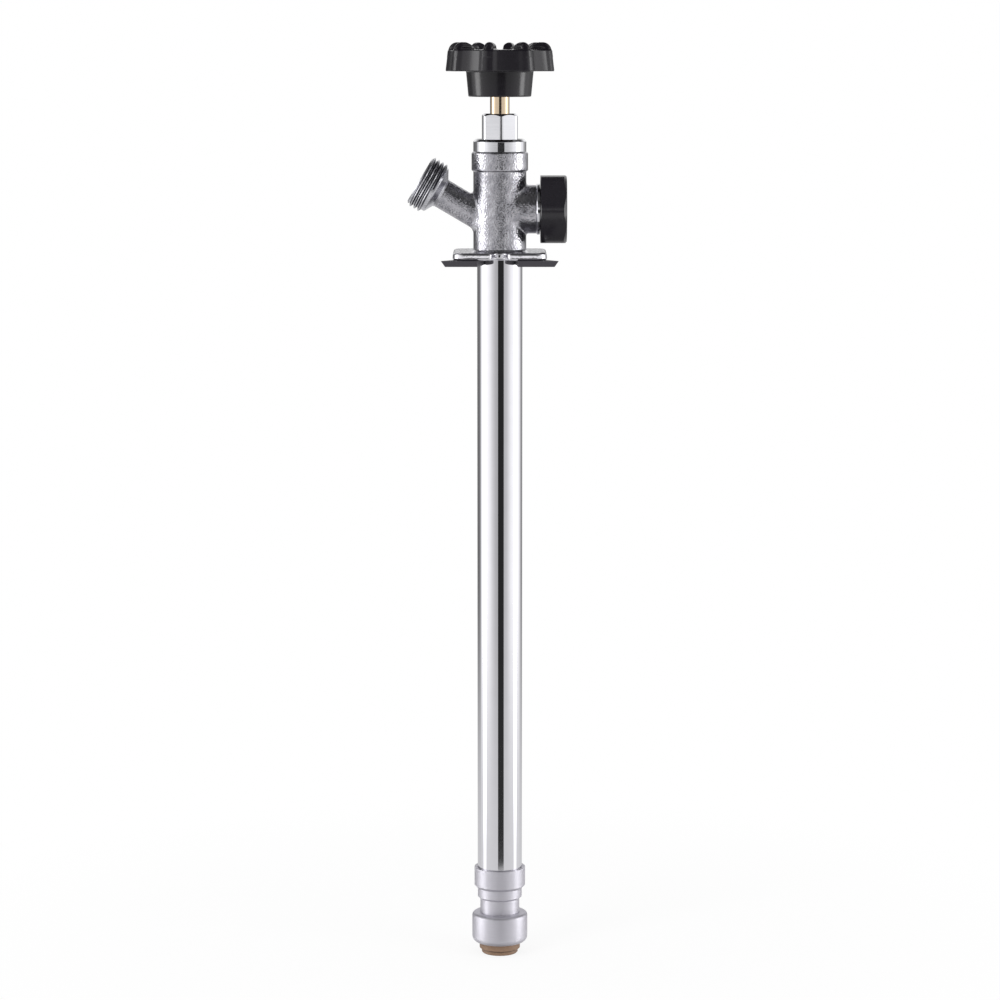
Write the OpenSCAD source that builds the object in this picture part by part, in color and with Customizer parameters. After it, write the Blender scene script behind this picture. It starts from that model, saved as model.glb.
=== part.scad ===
// Frost free sillcock, in millimetres, upright as it hangs in its photograph.
// Z runs along the tube towards the hand wheel, the spout points to -X and the vent cap to +X.
// The origin is where the tube's axis meets the wall, at the back face of the wedge.

/* [Long tube] */
// Outer diameter of the long tube
tube_d = 22.2; // [21:0.1:23]
// Wall of the long tube
tube_wall = 0.9; // [0.7:0.1:1.1]
// Flange back to the top of the end fitting
reach = 305.6; // [200:0.1:400]
// How deep the tube sits in the cast body
tube_in_body = 11; // [8:0.5:12]
// How deep the tube sits in the end fitting
tube_in_fitting = 8; // [6:0.5:9]

/* [Wall wedge] */
// Thickness of the wedge
shim_thick = 2.9; // [2.5:0.1:5]
// Length of the wedge's front edge
shim_l = 57; // [52:0.5:64]
// How far the wedge stands out in front of the flange
shim_front = 2; // [0.5:0.5:4]
// Radius of the wedge round the back of the tube
shim_back_r = 19; // [18:0.5:22]
// How far each end leans in at the wall side
shim_lean = 2; // [0:0.5:3]
// Width of the wedge's mouth at its front edge
shim_mouth = 20.4; // [17:0.2:22]
// Width of the throat that snaps over the tube
shim_throat = 14.6; // [12:0.2:16]

/* [Flange] */
// Flange length, along X
flange_l = 46; // [42:0.2:52]
// Flange width, along Y
flange_w = 43; // [42:0.2:50]
// Flange thickness
flange_t = 3.6; // [3:0.1:5]
// Radius of the flange's corners
flange_corner = 6; // [4:0.5:9]
// Chamfer round the flange's front edge
flange_chamfer = 1; // [0.5:0.1:1.5]
// Radius of the two screw notches
notch_r = 3.6; // [2.5:0.1:3.8]
// Distance between the notch centres
notch_spacing = 36; // [35.8:0.2:39]
// Rounding at the mouth of each notch
notch_mouth = 2.4; // [1:0.1:2.6]

/* [Cast body] */
// Wall round the tube's socket
barrel_wall = 1.8; // [1.5:0.1:2.5]
// Height of the plain barrel above the flange
barrel_h = 38.9; // [38:0.1:48]
// Height of the cast collar
collar_h = 9.2; // [8:0.1:12]
// How far the cast collar stands out
collar_lip = 0.85; // [0.4:0.05:1.5]
// Diameter of the machined neck
neck_d = 25.9; // [22:0.1:27]
// Height of the machined neck
neck_h = 6.3; // [5:0.1:9]
// Chamfer on the machined neck
neck_chamfer = 1.2; // [0.3:0.1:1.5]
// Fillet between barrel and flange
root_fillet = 1.3; // [0.5:0.1:1.4]
// Diameter of the water chamber inside
chamber_d = 17; // [15:0.2:18]
// Thickness of the floor under the packing
packing_floor = 3; // [2:0.2:4]

/* [Spout] */
// Angle of the spout above the flange
spout_angle = 30.5; // [28:0.5:33]
// Height above the flange's back where the spout's axis meets the barrel's
spout_h = 15; // [14:0.1:16.5]
// Diameter of the spout's neck
spout_d = 14.5; // [13.5:0.1:16]
// Diameter of the spout's waterway
spout_bore = 10; // [8:0.2:11]
// Outer diameter of the hose thread
thread_d = 26.7; // [26:0.1:27.5]
// Pitch of the hose thread
thread_pitch = 2.209; // [2:0.001:2.4]
// Depth of the hose thread
thread_depth = 1.4; // [1.2:0.05:1.5]
// Width of each thread crest
crest_w = 0.4; // [0.3:0.05:0.5]
// Number of thread crests
thread_turns = 4; // [3:1:5]
// Centre of the crest nearest the body, along the spout's axis
thread_start = 37.4; // [36:0.1:39]
// Plain lead beyond the outermost crest
thread_lead = 1.5; // [1.5:0.1:2.5]
// Plain land behind the thread
head_land = 0.4; // [0.3:0.1:2]
// Length of the cone from the neck to the land
head_cone = 2.4; // [2:0.1:5]
// Chamfer at the spout's end
head_chamfer = 0.4; // [0.2:0.05:0.4]
// Diameter of the hose washer's seat inside the mouth
mouth_d = 18.8; // [17:0.2:19.5]
// Depth of the mouth
mouth_depth = 8; // [6:0.5:9]

/* [Vent] */
// Height of the vent's axis above the flange's back
vent_h = 23.9; // [22.5:0.1:26]
// Diameter of the vent branch
vent_d = 23.7; // [22.5:0.1:24.5]
// Where the branch's rim begins, from the tube's axis
vent_rim_x = 18.1; // [18:0.1:21]
// Thickness of the rim
vent_rim_t = 1.5; // [1:0.1:2]
// How far the rim stands out
vent_rim_lip = 0.6; // [0.3:0.05:1]
// Length of the threaded stub that the cap screws on
stub_l = 7; // [6:0.1:8]
// Diameter of the threaded stub
stub_d = 21; // [20.6:0.1:22]
// Diameter of the vent chamber
vent_bore = 17.2; // [16.6:0.1:17.4]
// Diameter of the port from the water chamber
vent_port = 12; // [10:0.2:13]
// Where the float rests, from the tube's axis
float_x = 14.5; // [14:0.1:15]
// Travel of the vent float
float_travel = 2.5; // [1.5:0.1:2.6]
// Cap width across its flats
cap_af = 32.7; // [31:0.1:35]
// Radius of the cap's rounded corners
cap_corner = 8.7; // [5:0.1:11]
// Length of the cap
cap_l = 12.8; // [12:0.1:15]
// Chamfer round the cap's end
cap_chamfer = 1.5; // [0.5:0.1:2]
// Thickness of the cap's end
cap_end = 2; // [1.5:0.1:3]

/* [Stem and packing] */
// Diameter of the stem and of the long rod
stem_d = 9.5; // [9:0.1:10]
// Length of bare stem between nut and hand wheel
stem_show = 8.2; // [6.5:0.1:10]
// Wall of the long rod
rod_wall = 1.35; // [1:0.05:1.5]
// Diameter of the packing nut's thread
nut_thread_d = 15; // [14.6:0.1:16]
// Length of the packing nut's thread
nut_thread_l = 5; // [4:0.2:6]
// Packing nut width across its flats
nut_af = 17; // [16.5:0.1:19]
// Height of the packing nut's hexagon
nut_h = 12.3; // [10:0.1:16]
// Height of the chamfer round the packing nut's top
nut_crown = 1.6; // [0.8:0.1:2]
// Turn of the hexagon from the front
nut_turn = 4.3; // [0:0.1:60]
// Thickness of the gland ring
gland_t = 2; // [1.5:0.1:2.5]
// Thickness of the packing washer
packing_washer_t = 1; // [0.8:0.1:1.4]

/* [Hand wheel] */
// Number of ridges round the skirt, each with a finger rib on top
ridges = 8; // [6:1:10]
// Turn of the first ridge from the front
ridge_turn = 31.6; // [0:0.1:45]
// Reach of the ridges from the axis
wheel_r = 26.8; // [26:0.1:30]
// Radius of each ridge
ridge_r = 3.6; // [3:0.1:4.5]
// How much of each ridge's tip is turned away
ridge_tip = 0.3; // [0.1:0.1:0.6]
// Radius of the hollows between the ridges
scallop_r = 37; // [30:1:60]
// How far the skirt draws in from its foot to its top
wheel_draft = 1.2; // [0.4:0.1:2]
// Height of the hub below the skirt
hub_h = 12.3; // [10:0.1:15]
// Radius of the hub at its foot
hub_r = 15.3; // [15:0.1:17]
// How far the hub widens upwards
hub_flare = 1.15; // [0.5:0.05:1.5]
// Height of the skirt between its ribs
skirt_h = 10.1; // [9.5:0.1:13]
// Width of the finger ribs
rib_w = 4.8; // [4:0.1:6]
// Height of the finger ribs above the skirt
rib_h = 3.9; // [3:0.1:5]
// Wall of the wheel
wheel_wall = 2.2; // [1.8:0.1:2.6]
// Radius of the boss round the stem
boss_r = 7.4; // [7:0.1:8.5]

/* [Hand wheel screw] */
// Shank diameter of the screw
screw_d = 4; // [3:0.1:4.4]
// Shank length of the screw
screw_l = 12; // [8:0.5:14]
// Head diameter of the screw
head_d = 8; // [7:0.1:9]
// Head height of the screw
head_h = 2.6; // [2:0.1:3]
// Washer diameter
washer_d = 11; // [10:0.1:13]
// Washer thickness
washer_t = 0.8; // [0.6:0.1:1.2]

/* [End fitting] */
// Wall round the tube in the end fitting
fitting_wall = 1.55; // [1.3:0.05:2]
// Height of the fitting's collar
fitting_collar_h = 10.6; // [10.2:0.1:13]
// Diameter of the fitting's step
step_d = 22.1; // [21:0.1:23]
// Height of the fitting's step
step_h = 5.4; // [4:0.1:7]
// Wall round the valve chamber
valve_wall = 1.4; // [1.2:0.1:1.8]
// Height of the fitting's bare neck
fitting_neck_h = 7.4; // [6:0.1:9]
// Diameter of the valve chamber
valve_d = 16.8; // [16.4:0.1:17.2]
// Height of the seat above the push fit end
seat_h = 4.5; // [4:0.1:5]
// Height of the seat's raised lip
lip_h = 1.2; // [0.8:0.1:1.5]
// Diameter of the seat's orifice
orifice_d = 8; // [7:0.1:8.4]
// Lift of the washer from closed to open
lift = 6; // [4:0.1:6.2]

/* [Washer and drive] */
// Thickness of the seat washer
seat_washer_t = 1.8; // [1.5:0.1:2]
// Diameter of the seat washer
seat_washer_d = 12.4; // [12:0.1:13]
// Thickness of the washer holder's head
holder_t = 2.2; // [1.8:0.1:2.3]
// Diameter of the washer holder's shank
shank_d = 5; // [4.4:0.1:5.4]
// Length of the shank in the drive screw
shank_l = 9.8; // [8:0.1:11]
// How much wider the drive screw is than the rod
drive_step = 0.5; // [0.3:0.1:1]
// Length of the fixed drive nut
drive_nut_l = 10; // [8:0.5:12]
// Diameter of the drive nut's four waterways
waterway_d = 3.4; // [2.5:0.1:3.6]

/* [Push fit end] */
// Diameter of the supply pipe
pipe_d = 15.875; // [15.6:0.005:16.2]
// Radial room for the grip parts inside the shell
grip_room = 4.8; // [4.6:0.05:5.5]
// Wall of the shell
shell_wall = 1; // [0.8:0.05:1.3]
// Length of the shell's straight side
shell_h = 12; // [11.6:0.1:15]
// Rounding at the shell's top
shell_shoulder = 1.6; // [0.5:0.1:1.8]
// Rounding at the shell's foot
shell_round = 3.2; // [2.5:0.1:3.4]
// Depth of the plain pipe socket
socket_depth = 3.2; // [3:0.1:4]
// Thickness of the sealing ring
seal_section = 2.6; // [2.4:0.1:2.8]
// Thickness of the grip ring's steel
grip_t = 0.4; // [0.3:0.05:0.5]
// Number of grip teeth
grip_teeth = 12; // [8:1:16]
// How far the release collar can be pushed in
release_travel = 2; // [1:0.1:2]
// Length of the release collar's wide part below the shell
release_wide = 3.1; // [2:0.1:3.5]
// Length of the release collar's narrow part
release_narrow = 2.5; // [2.2:0.1:4]
// Wall of the release collar's narrow part
release_wall = 1; // [0.8:0.05:1.4]

/* [Clearances] */
// Radial clearance of a shaft that turns or slides
run_gap = 0.05; // [0.03:0.01:0.09]
// Radial clearance of parts that are screwed or soldered together
fit_gap = 0.05; // [0.02:0.01:0.08]
// Clearance between parts that pass without touching
free_gap = 0.3; // [0.2:0.05:0.4]
// Radial clearance round the supply pipe
pipe_gap = 0.11; // [0.06:0.01:0.14]
// Clearance at each end of a stacked ring
stack_gap = 0.1; // [0.05:0.01:0.15]

/* [Hidden] */
$fn = 96;
// Overshoot of every cut past the face that it opens
cut = 1;
// Side of a half space that trims a leaning face
trim = 200;

// Radii of the fits
tube_r = tube_d / 2;
tube_bore_r = tube_r - tube_wall;
socket_r = tube_r + fit_gap;
barrel_r = socket_r + barrel_wall;
stem_r = stem_d / 2;
rod_bore_r = stem_r - rod_wall;
spigot_r = rod_bore_r - fit_gap;
stem_hole_r = stem_r + run_gap;
nut_thread_r = nut_thread_d / 2;
packing_bore_r = nut_thread_r + fit_gap;
drive_r = stem_r + drive_step / 2;
valve_r = valve_d / 2;
fitting_neck_r = valve_r + valve_wall;
pipe_hole_r = pipe_d / 2 + pipe_gap;
grip_r = pipe_hole_r + grip_room;
shell_r = grip_r + shell_wall;

// Heights above the wall, going up
flange_z = shim_thick;
barrel_z = flange_z + flange_t;
collar_z = barrel_z + barrel_h;
neck_z = collar_z + collar_h;
nut_z = neck_z + neck_h;
hub_z = nut_z + nut_h + stem_show;
skirt_z = hub_z + hub_h;
rim_z = skirt_z + skirt_h;
tube_top = flange_z + tube_in_body;
chamber_top = collar_z + free_gap;
packing_z = chamber_top + packing_floor;
gland_z = nut_z - nut_thread_l - gland_t - stack_gap;
ring_z = packing_z + packing_washer_t + stack_gap;
ring_h = gland_z - ring_z - stack_gap;
recess_z = rim_z - 5;
rod_top = tube_top + 20;
spigot_l = 8;

// Heights below the wall, going down
fitting_z = flange_z - reach;
step_z = fitting_z - fitting_collar_h;
fitting_neck_z = step_z - step_h;
shell_z = fitting_neck_z - fitting_neck_h;
shell_bend_z = shell_z - shell_h;
shell_foot_z = shell_bend_z - shell_round;
tube_foot = fitting_z - tube_in_fitting;
seat_z = shell_z + seat_h;
holder_z = seat_z + seat_washer_t;
drive_z = holder_z + holder_t + free_gap;
drive_thread_l = tube_foot + drive_nut_l + lift - drive_z;
rod_foot = drive_z + drive_thread_l;
pipe_stop_z = shell_z - 0.7;
socket_end_z = pipe_stop_z - socket_depth;
seal_room = seal_section + 2 * stack_gap;
spacer_top = socket_end_z - seal_room;
spacer_h = 1.8;
grip_z = spacer_top - stack_gap - spacer_h - stack_gap - grip_t;
release_foot = shell_foot_z - release_wide - release_narrow;
release_r = shell_r - shell_round - shell_wall / 2;
release_flange_z = shell_foot_z + shell_wall + free_gap;

// Spout, along its own axis
thread_r = thread_d / 2;
thread_root_r = thread_r - thread_depth;
thread_end = thread_start + (thread_turns - 1) * thread_pitch;
spout_end = thread_end + thread_lead;
head_back = thread_start - crest_w / 2 - thread_depth * tan(30) - head_land;

// Vent, along X
vent_bore_r = vent_bore / 2;
stub_x = vent_rim_x + vent_rim_t;
stub_end = stub_x + stub_l;
cap_x = stub_x + free_gap;
float_t = 2;
vent_seal_t = 1.8;
float_stem_r = 2;
vent_seal_x = float_x + float_t;
vent_lip_x = vent_seal_x + vent_seal_t + float_travel + stack_gap;
vent_gasket_t = 0.6;
cap_room_x = cap_x + cap_l - cap_end;

// Points along an arc, for the outline of a turned part
function arc(x, y, r, from, to, steps = 12) =
    [for (i = [0:steps]) [x + r * cos(from + (to - from) * i / steps),
                          y + r * sin(from + (to - from) * i / steps)]];

// Ring between two radii, standing on z = 0
module ring(outer, inner, h) {
    difference() {
        cylinder(r = outer, h = h);
        translate([0, 0, -cut]) cylinder(r = inner, h = h + 2 * cut);
    }
}

// Children along the spout's axis, from where it meets the barrel's
module along_spout() {
    translate([0, 0, flange_z + spout_h]) rotate([0, spout_angle - 90, 0]) children();
}

// Children along the vent's axis
module along_vent() {
    translate([0, 0, flange_z + vent_h]) rotate([0, 90, 0]) children();
}

// Rectangle with round corners
module round_rectangle(l, w, r) {
    square([l - 2 * r, w], center = true);
    square([l, w - 2 * r], center = true);
    for (x = [-1, 1], y = [-1, 1])
        translate([x * (l / 2 - r), y * (w / 2 - r)]) circle(r = r);
}

// Plate with round corners and a chamfer round its top
module chamfered_plate(l, w, r, t, c) {
    linear_extrude(t - c) round_rectangle(l, w, r);
    translate([0, 0, t - c]) {
        for (x = [-1, 1], y = [-1, 1])
            translate([x * (l / 2 - r), y * (w / 2 - r), 0]) cylinder(r1 = r, r2 = r - c, h = c);
        rotate([90, 0, 90]) linear_extrude(l - 2 * r, center = true)
            polygon([[-w / 2, 0], [w / 2, 0], [w / 2 - c, c], [-w / 2 + c, c]]);
        rotate([90, 0, 0]) linear_extrude(w - 2 * r, center = true)
            polygon([[-l / 2, 0], [l / 2, 0], [l / 2 - c, c], [-l / 2 + c, c]]);
    }
}

// One screw notch, open at the flange's edge, with its mouth rounded
module screw_notch() {
    edge = flange_w / 2;
    translate([0, notch_spacing / 2]) circle(r = notch_r);
    translate([-notch_r, notch_spacing / 2]) square([2 * notch_r, flange_w]);
    for (side = [-1, 1])
        difference() {
            translate([side * (notch_r + notch_mouth / 2), edge])
                square([notch_mouth, 2 * notch_mouth], center = true);
            translate([side * (notch_r + notch_mouth), edge - notch_mouth]) circle(r = notch_mouth);
        }
}

// Outline of the spout's neck and threaded head, as radius against distance
module spout_outline() {
    flank = thread_depth * tan(30);
    crests = [for (i = [0:thread_turns - 1]) let (s = thread_start + i * thread_pitch)
        each [[thread_root_r, s - crest_w / 2 - flank], [thread_r, s - crest_w / 2],
              [thread_r, s + crest_w / 2], [thread_root_r, s + crest_w / 2 + flank]]];
    polygon(concat(
        [[0, 0], [spout_d / 2, 0], [spout_d / 2, head_back - head_cone], [thread_root_r, head_back]],
        crests,
        [[thread_root_r, spout_end - head_chamfer], [thread_root_r - head_chamfer, spout_end],
         [0, spout_end]]));
}

// Cast and plated brass body: flange, barrel, collar, machined neck, spout and vent branch
module valve_body() {
    color("silver") difference() {
        union() {
            translate([0, 0, flange_z])
                chamfered_plate(flange_l, flange_w, flange_corner, flange_t, flange_chamfer);
            translate([0, 0, flange_z]) cylinder(r = barrel_r, h = nut_z - neck_h - flange_z);
            translate([0, 0, barrel_z])
                cylinder(r1 = barrel_r + root_fillet, r2 = barrel_r, h = root_fillet);
            translate([0, 0, collar_z]) cylinder(r = barrel_r + collar_lip, h = collar_h);
            translate([0, 0, neck_z]) cylinder(r = neck_d / 2, h = neck_h - neck_chamfer);
            translate([0, 0, nut_z - neck_chamfer])
                cylinder(r1 = neck_d / 2, r2 = neck_d / 2 - neck_chamfer, h = neck_chamfer);
            along_spout() rotate_extrude() spout_outline();
            along_vent() {
                cylinder(d = vent_d, h = stub_x);
                translate([0, 0, vent_rim_x]) cylinder(r = vent_d / 2 + vent_rim_lip, h = vent_rim_t);
                cylinder(d = stub_d, h = stub_end);
            }
        }
        // Notches for the two wall screws
        translate([0, 0, flange_z - cut]) linear_extrude(flange_t + cut + 0.01) {
            screw_notch();
            mirror([0, 1]) screw_notch();
        }
        // Socket of the long tube, and the water chamber above it
        translate([0, 0, flange_z - cut]) cylinder(r = socket_r, h = tube_in_body + cut);
        translate([0, 0, tube_top - cut]) cylinder(d = chamber_d, h = chamber_top - tube_top + cut);
        // Hole for the stem, and the threaded packing space
        translate([0, 0, chamber_top - cut])
            cylinder(r = stem_r + free_gap, h = packing_floor + 2 * cut);
        translate([0, 0, packing_z]) cylinder(r = packing_bore_r, h = nut_z - packing_z + cut);
        along_spout() {
            cylinder(d = spout_bore, h = spout_end + cut);
            translate([0, 0, spout_end - mouth_depth]) cylinder(d = mouth_d, h = mouth_depth + cut);
            translate([0, 0, spout_end - mouth_depth - 3])
                cylinder(d1 = spout_bore, d2 = mouth_d, h = 3.001);
        }
        along_vent() {
            cylinder(d = vent_port, h = stub_end);
            translate([0, 0, float_x]) cylinder(r = vent_bore_r, h = stub_end);
        }
    }
}

// Long plated tube that carries the valve seat through the wall
module outer_tube() {
    color("gainsboro") translate([0, 0, tube_foot])
        ring(tube_r, tube_bore_r, tube_top - tube_foot);
}

// Plastic wedge between flange and wall, open at the front to snap over the tube
module wall_wedge() {
    front = -flange_w / 2 - shim_front;
    depth = shim_back_r - front;
    back_turn = 20;
    color("dimgray") difference() {
        linear_extrude(shim_thick) polygon(concat(
            [[-shim_l / 2, front], [shim_l / 2, front]],
            arc(0, 0, shim_back_r, -back_turn, 180 + back_turn, 44)));
        // Leaning ends
        for (side = [-1, 1])
            translate([side * shim_l / 2, 0, shim_thick])
                rotate([0, side * atan(shim_lean / shim_thick), 0])
                    translate([side > 0 ? 0 : -trim, -trim / 2, -trim / 2]) cube(trim);
        // Hole for the tube, its mouth, and the notch for the rear screw
        translate([0, 0, -cut]) cylinder(r = tube_r + free_gap, h = depth);
        translate([0, 0, -cut]) linear_extrude(shim_thick + 2 * cut)
            polygon([[-shim_mouth / 2, front - cut], [shim_mouth / 2, front - cut],
                     [shim_throat / 2, -shim_throat / 2], [-shim_throat / 2, -shim_throat / 2]]);
        translate([0, notch_spacing / 2, -cut]) cylinder(r = notch_r + free_gap, h = depth);
        translate([-notch_r - free_gap, notch_spacing / 2, -cut])
            cube([2 * (notch_r + free_gap), depth, shim_thick + 2 * cut]);
    }
}

// Hexagon packing nut, chamfered at its top and screwed into the neck
module packing_nut() {
    corner_r = nut_af / 2 / cos(30);
    crown_slope = 38;
    color("gainsboro") difference() {
        union() {
            translate([0, 0, nut_z]) intersection() {
                rotate(30 + nut_turn) cylinder(r = corner_r, h = nut_h, $fn = 6);
                union() {
                    cylinder(r = corner_r + cut, h = nut_h - nut_crown);
                    translate([0, 0, nut_h - nut_crown])
                        cylinder(r1 = corner_r + cut, r2 = corner_r + cut - nut_crown / tan(crown_slope),
                                 h = nut_crown);
                }
            }
            translate([0, 0, nut_z - nut_thread_l]) cylinder(r = nut_thread_r, h = nut_thread_l + cut);
        }
        translate([0, 0, nut_z - nut_thread_l - cut])
            cylinder(r = stem_hole_r, h = nut_thread_l + nut_h + 2 * cut);
    }
}

// Brass ring that presses on the packing
module packing_gland() {
    color("goldenrod") translate([0, 0, gland_z]) ring(nut_thread_r, stem_hole_r, gland_t);
}

// Soft packing that seals the stem
module packing_ring() {
    color("white") translate([0, 0, ring_z]) ring(nut_thread_r, stem_hole_r, ring_h);
}

// Washer that the packing rests on
module packing_washer() {
    color("goldenrod") translate([0, 0, packing_z]) ring(nut_thread_r, stem_hole_r, packing_washer_t);
}

// Flats of the stem's top, which turn the hand wheel
module stem_top(gap, h) {
    cylinder(r = stem_r - 0.6 + gap, h = h, $fn = 12);
}

// Brass stem: spigot in the rod, round shaft and fluted top
module stem() {
    shoulder_z = hub_z + 6;
    top_z = recess_z - free_gap;
    color("burlywood") difference() {
        union() {
            translate([0, 0, rod_top - spigot_l]) cylinder(r = spigot_r, h = spigot_l + cut);
            translate([0, 0, rod_top]) cylinder(r = stem_r, h = shoulder_z - rod_top);
            translate([0, 0, shoulder_z]) stem_top(0, top_z - shoulder_z);
        }
        translate([0, 0, top_z - screw_l]) cylinder(r = screw_d / 2 + fit_gap, h = screw_l + cut);
        translate([0, 0, rod_top - spigot_l / 2]) rotate([90, 0, 0])
            cylinder(r = 1 + fit_gap, h = stem_d, center = true);
    }
}

// Pin that locks the stem in the rod, flush with the rod's surface
module stem_pin() {
    pin_l = 2 * sqrt(pow(stem_r, 2) - 1) - 0.1;
    color("silver") translate([0, 0, rod_top - spigot_l / 2]) rotate([90, 0, 0])
        cylinder(r = 1, h = pin_l, center = true);
}

// Long hollow rod from the stem down to the valve seat
module operating_rod() {
    color("peru") difference() {
        translate([0, 0, rod_foot]) ring(stem_r, rod_bore_r, rod_top - rod_foot);
        translate([0, 0, rod_top - spigot_l / 2]) rotate([90, 0, 0])
            cylinder(r = 1 + fit_gap, h = 2 * stem_d, center = true);
    }
}

// Nylon spider that keeps the rod in the middle of the tube
module rod_guide() {
    guide_h = 9;
    color("ivory") translate([0, 0, flange_z - reach / 2]) intersection() {
        cylinder(r = tube_bore_r - 2 * run_gap, h = guide_h);
        difference() {
            union() {
                cylinder(r = stem_r + 1.6, h = guide_h);
                for (turn = [0:60:120])
                    rotate(turn) translate([-tube_r, -0.8, 0]) cube([2 * tube_r, 1.6, guide_h]);
            }
            translate([0, 0, -cut]) cylinder(r = stem_r + fit_gap, h = guide_h + 2 * cut);
        }
    }
}

// Brass screw at the rod's foot, which lifts the washer as it turns
module drive_screw() {
    color("goldenrod") difference() {
        union() {
            translate([0, 0, drive_z]) cylinder(r = drive_r, h = drive_thread_l);
            translate([0, 0, rod_foot]) cylinder(r = spigot_r, h = spigot_l);
        }
        translate([0, 0, drive_z - cut]) cylinder(r = shank_d / 2 + run_gap, h = shank_l + cut);
        translate([0, 0, drive_z + 3]) cylinder(r = shank_d / 2 + 0.6, h = 1.2);
    }
}

// Spring ring that holds the washer holder in the drive screw and lets it swivel
module swivel_ring() {
    color("silver") translate([0, 0, drive_z + 3.2])
        ring(shank_d / 2 + 0.5, shank_d / 2 - 0.3, 0.8);
}

// Brass holder whose shank swivels in the drive screw
module washer_holder() {
    groove_z = drive_z + 3;
    color("goldenrod") difference() {
        union() {
            translate([0, 0, holder_z]) cylinder(d = seat_washer_d + 0.6, h = holder_t);
            translate([0, 0, holder_z]) cylinder(d = shank_d, h = holder_t + shank_l - free_gap);
        }
        translate([0, 0, groove_z]) ring(shank_d, shank_d / 2 - 0.4, 1.2);
        translate([0, 0, holder_z - cut]) cylinder(r = 1.5 + fit_gap, h = 5 + cut);
    }
}

// Rubber washer that shuts on the seat
module seat_washer() {
    color("darkslategray") translate([0, 0, seat_z]) ring(seat_washer_d / 2, 1.6, seat_washer_t);
}

// Screw that holds the seat washer, with a slot across its head
module washer_screw() {
    color("silver") difference() {
        union() {
            translate([0, 0, seat_z - 1.2]) cylinder(r = 2.8, h = 1.2);
            translate([0, 0, seat_z - 0.01]) cylinder(r = 1.5, h = seat_washer_t + 4.5);
        }
        translate([-3, -0.4, seat_z - 1.2 - cut]) cube([6, 0.8, 0.6 + cut]);
    }
}

// Fixed brass nut in the tube's foot that the drive screw runs in, with four waterways
module drive_nut() {
    waterway_ring_r = (drive_r + valve_r) / 2 + 0.2;
    color("darkgoldenrod") translate([0, 0, tube_foot]) difference() {
        ring(tube_bore_r - fit_gap, drive_r + run_gap, drive_nut_l);
        for (turn = [45:90:315])
            rotate(turn) translate([waterway_ring_r, 0, -cut])
                cylinder(d = waterway_d, h = drive_nut_l + 2 * cut);
    }
}

// Brass end fitting: tube socket, valve chamber, seat and pipe socket
module end_fitting() {
    color("silver") difference() {
        union() {
            translate([0, 0, step_z]) cylinder(r = socket_r + fitting_wall, h = fitting_collar_h);
            translate([0, 0, fitting_neck_z]) cylinder(d = step_d, h = step_h + cut);
            translate([0, 0, shell_z - shell_wall - stack_gap])
                cylinder(r = fitting_neck_r, h = fitting_neck_h + shell_wall + stack_gap + cut);
            translate([0, 0, spacer_top])
                cylinder(r = grip_r - stack_gap, h = shell_z - shell_wall - stack_gap - spacer_top);
        }
        translate([0, 0, tube_foot]) cylinder(r = socket_r, h = tube_in_fitting + cut);
        difference() {
            translate([0, 0, seat_z - lip_h]) cylinder(r = valve_r, h = tube_foot - seat_z + lip_h + cut);
            translate([0, 0, seat_z - lip_h - cut]) cylinder(r = orifice_d / 2 + 1.2, h = lip_h + cut);
        }
        translate([0, 0, pipe_stop_z - cut]) cylinder(d = orifice_d, h = seat_z - pipe_stop_z + 2 * cut);
        translate([0, 0, pipe_stop_z - cut]) cylinder(r = pipe_hole_r - 1.5, h = cut + 0.5);
        translate([0, 0, spacer_top - cut]) cylinder(r = pipe_hole_r, h = pipe_stop_z - spacer_top + cut);
        translate([0, 0, spacer_top - cut])
            cylinder(r = pipe_hole_r + seal_section + 2 * stack_gap, h = seal_room + cut);
    }
}

// Outer shell of the push fit end, rolled in at its foot
module connector_shell() {
    bend_r = shell_r - shell_round;
    foot_r = release_r + stack_gap;
    color("lightgray") rotate_extrude() polygon(concat(
        [[fitting_neck_r + fit_gap, shell_z]],
        arc(shell_r - shell_shoulder, shell_z - shell_shoulder, shell_shoulder, 90, 0),
        arc(bend_r, shell_bend_z, shell_round, 0, -90),
        [[foot_r, shell_foot_z], [foot_r, shell_foot_z + shell_wall]],
        arc(bend_r, shell_bend_z, shell_round - shell_wall, -90, 0),
        [[grip_r, shell_z - shell_wall], [fitting_neck_r + fit_gap, shell_z - shell_wall]]));
}

// Rubber ring that seals on the supply pipe
module inlet_seal() {
    color("black") translate([0, 0, socket_end_z - seal_room / 2])
        rotate_extrude() translate([pipe_hole_r + stack_gap + seal_section / 2, 0])
            circle(d = seal_section);
}

// Plastic spacer between the seal and the grip ring
module seal_spacer() {
    top = spacer_top - stack_gap;
    color("whitesmoke") translate([0, 0, top - spacer_h]) difference() {
        cylinder(r = grip_r - stack_gap, h = spacer_h);
        translate([0, 0, -cut]) cylinder(r = pipe_hole_r, h = spacer_h + 2 * cut);
        translate([0, 0, -cut]) cylinder(r = grip_r - 1.8, h = spacer_h - 0.6 + cut);
    }
}

// Steel ring whose teeth lean inwards and up to bite the pipe
module grip_ring() {
    inner = pipe_hole_r + 0.2;
    bend = grip_r - 2.2;
    rise = 1;
    color("silver") difference() {
        translate([0, 0, grip_z]) rotate_extrude()
            polygon([[grip_r - stack_gap, 0], [grip_r - stack_gap, grip_t], [bend, grip_t],
                     [inner, rise + grip_t], [inner, rise], [bend, 0]]);
        for (tooth = [1:grip_teeth])
            rotate(tooth * 360 / grip_teeth) translate([inner - cut, -0.4, grip_z - cut])
                cube([bend - inner + cut, 0.8, rise + 2 * cut]);
    }
}

// Ring that holds the grip ring against its spacer
module grip_retainer() {
    foot = shell_bend_z - free_gap;
    color("whitesmoke") translate([0, 0, foot])
        ring(grip_r - stack_gap, grip_r - 1, grip_z - stack_gap - foot);
}

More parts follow.
